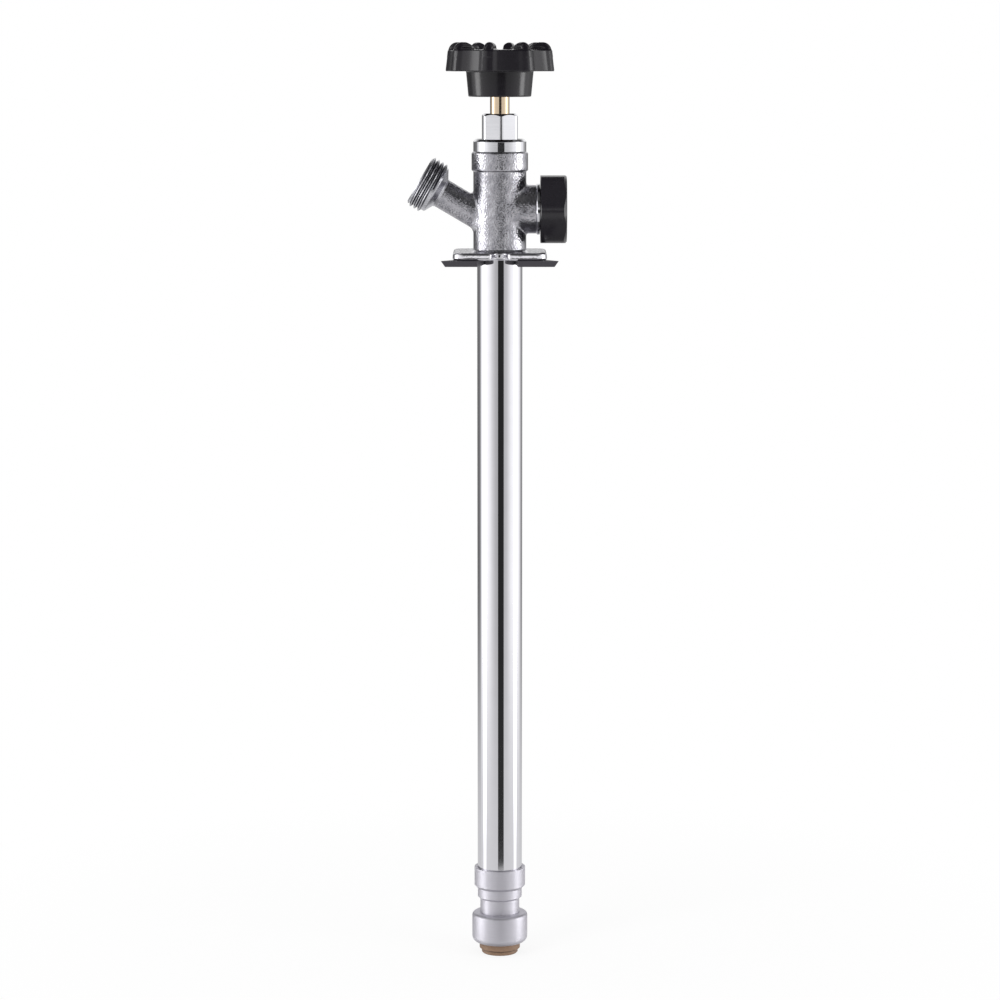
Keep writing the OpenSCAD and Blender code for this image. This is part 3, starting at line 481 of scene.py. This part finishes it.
# Turned faces of the body: the neck under the packing nut, and the rim and stub that the vent's
# cap sits on. They are cut after casting, so the plating on them is bright.
bright_chrome, place = new_finish("turned_bright_chrome")
cuts = grain(place, 0.35, 2, (0.02, 0.02, 1))
surface(place, cuts.blend(srgb(222, 222, 227), srgb(234, 234, 238)), 0.045 + cuts * 0.05, 1, cuts, 0.004)
NECK_R, NECK_TOP, NECK_CHAMFER = 12.95, 60.9, 1.2
neck = turned([(PACKING_R, 54.2), (NECK_R, 54.2), (NECK_R, NECK_TOP - NECK_CHAMFER),
               (NECK_R - NECK_CHAMFER, NECK_TOP), (8.3, NECK_TOP), (PACKING_R, 60.2)])
rounded(piece("machined_neck", drawn(neck, "machined_neck"), "housing",
              bright_chrome), 0.18)
STUB_R, STUB_END = 10.5, 26.6
rim = turned([(VENT_SEAT_R, 17.8), (11.8, 17.8), (12.45, 18.3), (12.45, 19.5), (STUB_R, 19.6),
              (STUB_R, STUB_END), (VENT_SEAT_R, STUB_END)], VENT_AXIS, VENT_START)
rounded(piece("vent_rim", drawn(rim, "vent_rim"), "housing", bright_chrome), 0.2)

# Hose thread: three and a half turns cut on the head of the spout, running out into the land
# behind them, with a cone back to the cast neck and a wide mouth for the hose's washer.
# Distances on the head are from the point where the spout's axis meets the barrel's.
PITCH = 2.209
ROOT, CREST = 11.95, 13.35
MOUTH, MOUTH_R = 45.5, 9.4
head = turned([(SPOUT_BORE_R, 30), (7.2, 30), (SPOUT_R, 32.6), (7.7, 33.7), (11.3, 35.7), (11.75, 36),
               (ROOT, 36.4), (ROOT, 45.1), (11.55, MOUTH), (MOUTH_R, MOUTH), (MOUTH_R, 37.5),
               (SPOUT_BORE_R, 34.5)], steps=160)
ridge = bmesh.new()
section = [(11.6, -0.99), (ROOT, -0.96), (CREST - 0.08, -0.23), (CREST, -0.12), (CREST, 0.12),
           (CREST - 0.08, 0.23), (ROOT, 0.96), (11.6, 0.99)]
face = ridge.faces.new([ridge.verts.new((radius, 0, along)) for radius, along in section])
TURNS, STEPS, THREAD_FOOT = 3.75, 450, 37.05
bmesh.ops.spin(ridge, geom=[face], angle=2 * pi * TURNS, steps=STEPS, axis=(0, 0, 1), cent=(0, 0, 0),
               dvec=(0, 0, PITCH * TURNS / STEPS))
# The first turn rises out of the land.
RUN_OUT = 0.45
for vert in ridge.verts:
    radius = sqrt(vert.co.x ** 2 + vert.co.y ** 2)
    turns = (vert.co.z + 1) / PITCH
    fade = min(max(turns / RUN_OUT - 0.6, 0), 1)
    wanted = radius - max(radius - 11.7, 0) * (1 - fade * fade * (3 - 2 * fade))
    vert.co.x *= wanted / radius
    vert.co.y *= wanted / radius
bmesh.ops.translate(ridge, verts=ridge.verts, vec=(0, 0, THREAD_FOOT))
bmesh.ops.recalc_face_normals(ridge, faces=ridge.faces)
lead_in = turned([(0, 20), (15, 20), (15, 42.9), (11.6, MOUTH - 0.05), (0, MOUTH - 0.05)], whole=False)
ridge_mesh = shaped_with(drawn(ridge, "ridge"), lead_in, "INTERSECT")
ridge = bmesh.new()
ridge.from_mesh(ridge_mesh)
bmesh.ops.scale(ridge, vec=(1000, 1000, 1000), verts=ridge.verts)
head_mesh = shaped_with(drawn(head, "hose_thread"), ridge, "UNION")


def set_along(mesh, axis, start):
    """Moves a mesh that was drawn along Z onto an axis of the body."""
    mesh.transform(Matrix.Translation(start / 1000) @ axis.to_track_quat("Z", "Y").to_matrix().to_4x4())


set_along(head_mesh, SPOUT_AXIS, SPOUT_START)
thread_chrome, place = new_finish("cut_thread_chrome")
along = place.node("VectorMath", {"operation": "SUBTRACT"}, {0: place, 1: SPOUT_START / 1000})
depth = place.node("VectorMath", {"operation": "CROSS_PRODUCT"}, {0: along, 1: SPOUT_AXIS})
depth = place.node("VectorMath", {"operation": "LENGTH"}, {0: depth}, 1) * 1000
# The thread's flanks are painted dark grey: painted shade of the grooves. The crests keep the plating's own
# colour.
crest = depth.rise(CREST - 0.45, CREST - 0.1)
flank_painted_shade = depth.rise(ROOT + 0.05, ROOT + 0.3) * (1 - crest)
cuts = grain(place, 0.35, 2, (0.3, 0.3, 1))
surface(place, flank_painted_shade.blend(srgb(222, 222, 228), srgb(84, 83, 92)), 0.24 + cuts * 0.08, 1, cuts, 0.004)
piece("hose_thread", head_mesh, "housing", thread_chrome, 24)

# Long tube: drawn brass, plated to a mirror.
mirror_chrome, place = new_finish("mirror_chrome")
haze = grain(place, 6, 2)
surface(place, haze.blend(srgb(236, 235, 240), srgb(243, 242, 247)), 0.02 + haze * 0.02, 1, haze, 0.002)
TUBE_BORE_R, TUBE_FOOT = 10.2, -310.7
tube = turned([(TUBE_BORE_R, TUBE_FOOT), (TUBE_R, TUBE_FOOT), (TUBE_R, TUBE_TOP), (TUBE_BORE_R, TUBE_TOP)],
              steps=160)
piece("long_tube", drawn(tube, "long_tube"), "housing", mirror_chrome, 30, ["outer_tube"])

# Wall wedge: a black moulding between flange and wall. It is open at the front, so that it slips on
# round the tube, and notched at the back for the wall screw.
black_wedge, place = new_finish("black_wedge")
pores = grain(place, 0.5, 3)
surface(place, pores.blend(srgb(52, 50, 56), srgb(64, 62, 68)), 0.34 + pores * 0.12, 0, pores, 0.012)
WEDGE_X, WEDGE_FRONT, WEDGE_BACK_R, WEDGE_LEAN = 28.5, -23.5, 19, 2
WEDGE_THROAT_R, WEDGE_NOTCH_R = 11.4, 3.9
outline = ([(8.8, WEDGE_FRONT), (WEDGE_X, WEDGE_FRONT)] + ring_part(WEDGE_BACK_R, -20, 78.2)
           + ring_part(WEDGE_NOTCH_R, 0, -180, (0, NOTCH_Y), 12) + ring_part(WEDGE_BACK_R, 101.8, 200)
           + [(-WEDGE_X, WEDGE_FRONT), (-10.9, WEDGE_FRONT)]
           + ring_part(WEDGE_THROAT_R, 228.7, -48.7, count=40))
wedge = raised(outline, 0, FLANGE_BACK)
for end in (-1, 1):
    parts = wedge.verts[:] + wedge.edges[:] + wedge.faces[:]
    cut = bmesh.ops.bisect_plane(wedge, geom=parts, plane_co=(end * WEDGE_X, 0, FLANGE_BACK),
                                 plane_no=(end * FLANGE_BACK, 0, -WEDGE_LEAN), clear_outer=True)["geom_cut"]
    bmesh.ops.contextual_create(wedge, geom=[part for part in cut if isinstance(part, bmesh.types.BMEdge)])
bmesh.ops.recalc_face_normals(wedge, faces=wedge.faces)
rounded(piece("wall_wedge_moulding", drawn(wedge, "wall_wedge"), "housing", black_wedge,
              stands_for=["wall_wedge"]), 0.2)

# Packing nut: a plated hexagon with softened corners and a chamfered crown, screwed into the neck.
NUT_FLATS, NUT_TOP, NUT_BORE_R = 17, 73.2, 4.85
NUT_TURN = radians(4.3)
NUT_CROWN_FOOT, NUT_CROWN_R = 71.6, 7.9
hexagon = bmesh.new()
bmesh.ops.create_cone(
    hexagon, cap_ends=True, segments=6, radius1=NUT_FLATS / sqrt(3), radius2=NUT_FLATS / sqrt(3),
    depth=NUT_TOP - NECK_TOP,
    matrix=Matrix.Translation((0, 0, (NUT_TOP + NECK_TOP) / 2)) @ Matrix.Rotation(NUT_TURN, 4, "Z"))
uprights = [edge for edge in hexagon.edges if abs(edge.verts[0].co.z - edge.verts[1].co.z) > 5]
bmesh.ops.bevel(hexagon, geom=uprights, offset=1.3, segments=8, profile=0.5, affect="EDGES")
crown = turned([(NUT_BORE_R, NECK_TOP), (9.3, NECK_TOP), (9.95, NECK_TOP + 0.2), (9.95, NUT_CROWN_FOOT),
                (NUT_CROWN_R, NUT_TOP), (NUT_BORE_R, NUT_TOP)])
nut_mesh = shaped_with(drawn(crown, "packing_nut"), hexagon, "INTERSECT")
thread = drawn(turned([(NUT_BORE_R, 55.9), (7.5, 55.9), (7.5, 61.2), (NUT_BORE_R, 61.2)]), "thread")
nut = bmesh.new()
nut.from_mesh(nut_mesh)
nut.from_mesh(thread)
nut.to_mesh(nut_mesh)
nut.free()
rounded(piece("packing_nut_plated", nut_mesh, "housing", bright_chrome, 28,
              ["packing_nut"]), 0.14, 2, 28)

# Hand wheel: one glossy black moulding. Eight ridges with hollows between them make the skirt, each
# ridge runs up into a domed finger rib, and the top is dished round the screw's recess.
black_handle, place = new_finish("black_handle")
flow = grain(place, 2.2, 2)
surface(place, flow.blend(srgb(17, 14, 20), srgb(22, 19, 26)), 0.17 + flow * 0.06, 0, flow, 0.006, IOR=1.5)


RIDGES, RIDGE_OUT, RIDGE_R = 8, 23.45, 3.5
WHEEL_TURN = radians(58.4)
HUB_FOOT, SKIRT_FOOT, SKIRT_TOP, RIB_TOP = 81.4, 93.7, 103.8, 107.7
HUB_R, HUB_FLARE = 15.3, 0.0935
HOLLOW_OUT, HOLLOW_OFF, HOLLOW_R = 56.63, 23.46, 37
RIB_OUT, RIB_HALF, RIB_R = 21.4, 5.5, 2.4


def wheel(p):
    """Distance to the hand wheel's surface."""
    x, y, z = p.T
    r = np.hypot(x, y)
    turn = np.arctan2(y, x) + WHEEL_TURN
    fold = np.abs((turn + pi / RIDGES) % (2 * pi / RIDGES) - pi / RIDGES)
    lean = r + np.clip((z - SKIRT_FOOT) / (SKIRT_TOP - SKIRT_FOOT), 0, 1.4) * 1.2
    out, off = lean * np.cos(fold), lean * np.sin(fold)
    ridge = np.hypot(out - RIDGE_OUT, off) - RIDGE_R
    core = np.maximum(HOLLOW_R - np.hypot(out - HOLLOW_OUT, off - HOLLOW_OFF), out - 26.2)
    top = SKIRT_TOP + 0.35 * (1 - ((r - 15) / 11) ** 2)
    skirt = both(filleted(ridge, core, 1.5), between(z, SKIRT_FOOT, top), 0.55)
    hub = both(r - HUB_R - HUB_FLARE * (z - HUB_FOOT), between(z, HUB_FOOT, 98.6), 0.6)
    whole = filleted(skirt, hub, 0.4)
    length = both(np.abs(out - RIB_OUT) - RIB_HALF, z - RIB_TOP, 3.7)
    rib = np.maximum(both(r * np.sin(fold) - RIB_R, length, RIB_R - 0.01), 101 - z)
    whole = filleted(whole, rib, 0.8)
    across, up = r * np.cos(turn), r * np.sin(turn)
    web = np.maximum(np.minimum(np.abs(across), np.abs(up)) - 0.8, 83.4 - z)
    dish = np.maximum((r - 10.4 - 1.5 * (z - 101.8)) * 0.55, 101.8 - z)
    screw_recess = np.maximum(r - 7.5, 98.8 - z)
    under_skirt = np.maximum(between(r, 16.76, 22), z - 101.6)
    under_hub = np.maximum(np.maximum(between(r, 7.4, 13.1), z - 96.1), -web)
    stem_hole = np.maximum(r - 4.8, z - 87.45)
    for hollow in (dish, screw_recess, under_skirt, under_hub, stem_hole, r - 4.25):
        whole = both(whole, -hollow, 0.3)
    return whole


def smoothed(mesh, distance):
    """Shades a mesh by the true slope of the surface that its points lie on."""
    points = np.zeros(len(mesh.vertices) * 3)
    mesh.vertices.foreach_get("co", points)
    points = points.reshape(-1, 3) * 1000
    slope = np.stack([distance(points + step) - distance(points - step) for step in np.eye(3) * 0.05], 1)
    slope /= np.maximum(np.linalg.norm(slope, axis=1), 1e-6)[:, None]
    mesh.normals_split_custom_set_from_vertices(slope.tolist())


wheel_mesh = shaped(welded("handwheel"), ("REMESH", {"mode": "VOXEL", "voxel_size": VOXEL}))
settled(wheel_mesh, wheel, 6)
relaxed(wheel_mesh, wheel, 4)
piece("hand_wheel", wheel_mesh, "spindle", black_handle, 0, ["handwheel"])
smoothed(wheel_mesh, wheel)

# Stem: turned and polished brass. The hand wheel sits on its flats, held by a washer and a zinc
# plated screw.
pale_brass, place = new_finish("polished_brass")
cuts = grain(place, 0.3, 2, (0.02, 0.02, 1))
surface(place, cuts.blend(srgb(222, 198, 168), srgb(232, 212, 184)), 0.05 + cuts * 0.03, 1, cuts, 0.001)
zinc, place = new_finish("zinc_plate")
spangle = grain(place, 1.2, 3)
surface(place, spangle.blend(srgb(168, 170, 176), srgb(196, 198, 204)), 0.28 + spangle * 0.12, 1,
        spangle, 0.006)


def dress(finish, *nodes):
    """Gives parts that keep their own shape their finish."""
    for node in nodes:
        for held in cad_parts[node].material_slots:
            held.material = finish


dress(pale_brass, "stem")
dress(zinc, "handle_screw", "handle_washer")

# Vent cap: a black moulding with six flats and large rounded corners, its outer edge chamfered
# round. It screws on the stub, and air passes it through six grooves inside.
black_cap, place = new_finish("black_cap")
flow = grain(place, 2.6, 2)
surface(place, flow.blend(srgb(28, 26, 31), srgb(34, 32, 37)), 0.2 + flow * 0.06, 0, flow, 0.01, IOR=1.5)
CAP_BACK, CAP_FRONT, CAP_R = 19.9, 32.7, 17.6
CAP_CORNER_R, CAP_CORNER_OUT = 8.7, 8.833
CAP_BORE_R, CAP_BORE_END, GROOVE_R = 10.55, 30.7, 1.2
CAP_SIDES = [radians(60 * k) for k in range(6)]
corners = [point for k, a in enumerate(CAP_SIDES) for point in ring_part(
    CAP_CORNER_R, 60 * k - 30, 60 * k + 30, (CAP_CORNER_OUT * cos(a), CAP_CORNER_OUT * sin(a)), 13)]
edge = turned([(0, CAP_BACK), (CAP_R - 0.5, CAP_BACK), (CAP_R, CAP_BACK + 0.5), (CAP_R, CAP_FRONT - 1.6),
               (CAP_R - 1.7, CAP_FRONT), (0, CAP_FRONT)], steps=180, whole=False)
cap_mesh = shaped_with(drawn(raised(corners, CAP_BACK, CAP_FRONT), "vent_cap"), edge, "INTERSECT")
cap_mesh = cut_away(cap_mesh, turned(
    [(0, 19), (CAP_BORE_R, 19), (CAP_BORE_R, CAP_BORE_END), (0, CAP_BORE_END)], whole=False))
for a in CAP_SIDES:
    groove = turned([(0, 19), (GROOVE_R, 19), (GROOVE_R, CAP_BORE_END), (0, CAP_BORE_END)],
                    start=(STUB_R * cos(a), STUB_R * sin(a), 0), steps=24, whole=False)
    cap_mesh = cut_away(cap_mesh, groove)
set_along(cap_mesh, VENT_AXIS, VENT_START)
rounded(piece("vent_cap_moulding", cap_mesh, "housing", black_cap, 24, ["vent_cap"]), 0.3, 3, 26)

# End fitting: turned brass with the valve's seat in it, plated satin. The tube is pushed into its
# collar, and it steps down to the neck that the push fit end is rolled on.
satin_chrome, place = new_finish("satin_chrome")
rings = grain(place, 0.22, 2, (0.03, 0.03, 1))
surface(place, rings.blend(srgb(200, 198, 206), srgb(212, 210, 218)), 0.4 + rings * 0.1, 0.8, rings, 0.008)
TUBE_POCKET_R, WATERWAY_R, PIPE_HOLE_R = 11.15, 8.4, 8.05
END_COLLAR_R, END_COLLAR_TOP, END_COLLAR_FOOT = 12.7, -302.7, -313.3
STEP_R, STEP_FOOT = 11.05, -318.7
END_NECK_R, SEAT_R, SEAT_Z, PIPE_STOP = 9.8, 4, -321.6, -326.8
SPIGOT_R, SPIGOT_TOP, SPIGOT_FOOT, SEAL_R = 12.7, -327.2, -332.7, 10.85
fitting = turned([
    (TUBE_POCKET_R, END_COLLAR_TOP), (END_COLLAR_R, END_COLLAR_TOP), (END_COLLAR_R, -311.9),
    (11.35, END_COLLAR_FOOT), (STEP_R, END_COLLAR_FOOT), (STEP_R, -317.8), (10, STEP_FOOT),
    (END_NECK_R, STEP_FOOT), (END_NECK_R, SPIGOT_TOP), (SPIGOT_R, SPIGOT_TOP), (SPIGOT_R, SPIGOT_FOOT),
    (SEAL_R, SPIGOT_FOOT), (SEAL_R, -330), (PIPE_HOLE_R, -330), (PIPE_HOLE_R, PIPE_STOP),
    (SEAT_R, PIPE_STOP), (SEAT_R, SEAT_Z), (5.2, SEAT_Z), (5.2, SEAT_Z - 1.2),
    (WATERWAY_R, SEAT_Z - 1.2), (WATERWAY_R, TUBE_FOOT), (TUBE_POCKET_R, TUBE_FOOT)])
rounded(piece("end_fitting_turned", drawn(fitting, "end_fitting"), "housing", satin_chrome,
              stands_for=["end_fitting"]), 0.35, 3, 20)

# Push fit end: a drawn shell rolled in at its foot, round the seal, its spacer and the grip ring
# that holds the supply pipe.
SHELL_R, SHELL_TOP, SHELL_FOOT, SHELL_WALL = 13.85, -326.1, -341.3, 1
SHOULDER, ROLL = 1.6, 3.2
top_bend = (SHELL_R - SHOULDER, SHELL_TOP - SHOULDER)
foot_bend = (SHELL_R - ROLL, SHELL_FOOT + ROLL)
shoulder = ring_part(SHOULDER, 90, 0, top_bend, 8)
foot = ring_part(ROLL, 0, -90, foot_bend, 12)
inside = ring_part(ROLL - SHELL_WALL, -90, 0, foot_bend, 10)
shell = turned([(9.85, SHELL_TOP)] + shoulder + foot + [(10.25, SHELL_FOOT), (10.25, SHELL_FOOT + SHELL_WALL)]
               + inside + [(SHELL_R - SHELL_WALL, SHELL_TOP - SHELL_WALL), (9.85, SHELL_TOP - SHELL_WALL)])
piece("push_fit_shell", drawn(shell, "connector_shell"), "housing", satin_chrome, 28,
      ["connector_shell"])

# Release collar: a tan moulding that slides in the shell's foot. Pushed in, it opens the grip.
tan_plastic, place = new_finish("tan_plastic")
pores = grain(place, 0.6, 3)
WIDE_R, WIDE_FOOT = 10.15, -344.4
NARROW_R, NARROW_FOOT = 9.05, -346.9
FLANGE_R, FLANGE_FOOT, NOSE = 11.05, -340, -337.5
down = place.node("SeparateXYZ", None, {0: place}).other(2) * 1000
# A narrow band on the narrow ring, just under the wide ring, is painted dark brown: painted shade under the
# step.
step_painted_shade = down.rise(WIDE_FOOT - 0.9, WIDE_FOOT - 0.4) * (1 - down.rise(WIDE_FOOT, WIDE_FOOT + 0.05))
surface(place, step_painted_shade.blend(pores.blend(srgb(138, 110, 88), srgb(150, 121, 98)), srgb(84, 62, 46)),
        0.42 + pores * 0.1, 0, pores, 0.01)
release = turned([(PIPE_HOLE_R, NOSE), (PIPE_HOLE_R, NARROW_FOOT + 0.4), (8.35, NARROW_FOOT),
                  (8.6, NARROW_FOOT), (NARROW_R, NARROW_FOOT + 0.5), (NARROW_R, WIDE_FOOT),
                  (WIDE_R, WIDE_FOOT), (WIDE_R, FLANGE_FOOT), (FLANGE_R, FLANGE_FOOT),
                  (FLANGE_R, FLANGE_FOOT + 1.5), (9.65, FLANGE_FOOT + 1.5), (9.65, NOSE)])
rounded(piece("release_collar_moulding", drawn(release, "release_collar"), "release_collar",
              tan_plastic, stands_for=["release_collar"]), 0.15, 2)

# Works inside: brass screw, nut and glands, copper rod, nylon guides and float, rubber seals and
# stainless rings. They show in the pipe socket and where the valve moves.
brass, place = new_finish("machined_brass")
cuts = grain(place, 0.4, 2, (0.05, 0.05, 1))
surface(place, cuts.blend(srgb(206, 170, 108), srgb(224, 190, 128)), 0.2 + cuts * 0.12, 1, cuts, 0.01)
copper, place = new_finish("drawn_copper")
draw = grain(place, 0.8, 2, (1, 1, 0.02))
surface(place, draw.blend(srgb(190, 118, 84), srgb(214, 142, 104)), 0.18 + draw * 0.12, 1, draw, 0.006)
nylon, place = new_finish("white_nylon")
pores = grain(place, 0.5, 3)
surface(place, pores.blend(srgb(222, 219, 208), srgb(233, 231, 221)), 0.4 + pores * 0.1, 0, pores, 0.008)
rubber, place = new_finish("black_rubber")
pores = grain(place, 0.35, 3)
surface(place, pores.blend(srgb(28, 28, 28), srgb(38, 38, 38)), 0.62 + pores * 0.15, 0, pores, 0.015)
steel, place = new_finish("spring_steel")
roll = grain(place, 0.4, 2, (1, 0.1, 1))
surface(place, roll.blend(srgb(178, 178, 180), srgb(200, 200, 203)), 0.22 + roll * 0.12, 1, roll, 0.004)
fibre, place = new_finish("woven_packing")
threads = grain(place, 0.3, 3, (1, 1, 3))
surface(place, threads.blend(srgb(206, 203, 190), srgb(228, 225, 214)), 0.7 + threads * 0.1, 0, threads, 0.03)
dress(brass, "packing_gland", "packing_washer", "drive_screw", "drive_nut", "washer_holder", "vent_seat")
dress(copper, "operating_rod")
dress(nylon, "rod_guide", "seal_spacer", "grip_retainer", "vent_float")
dress(rubber, "seat_washer", "inlet_seal", "vent_seal", "vent_gasket")
dress(steel, "stem_pin", "swivel_ring", "washer_screw", "grip_ring")
dress(fibre, "packing_ring")
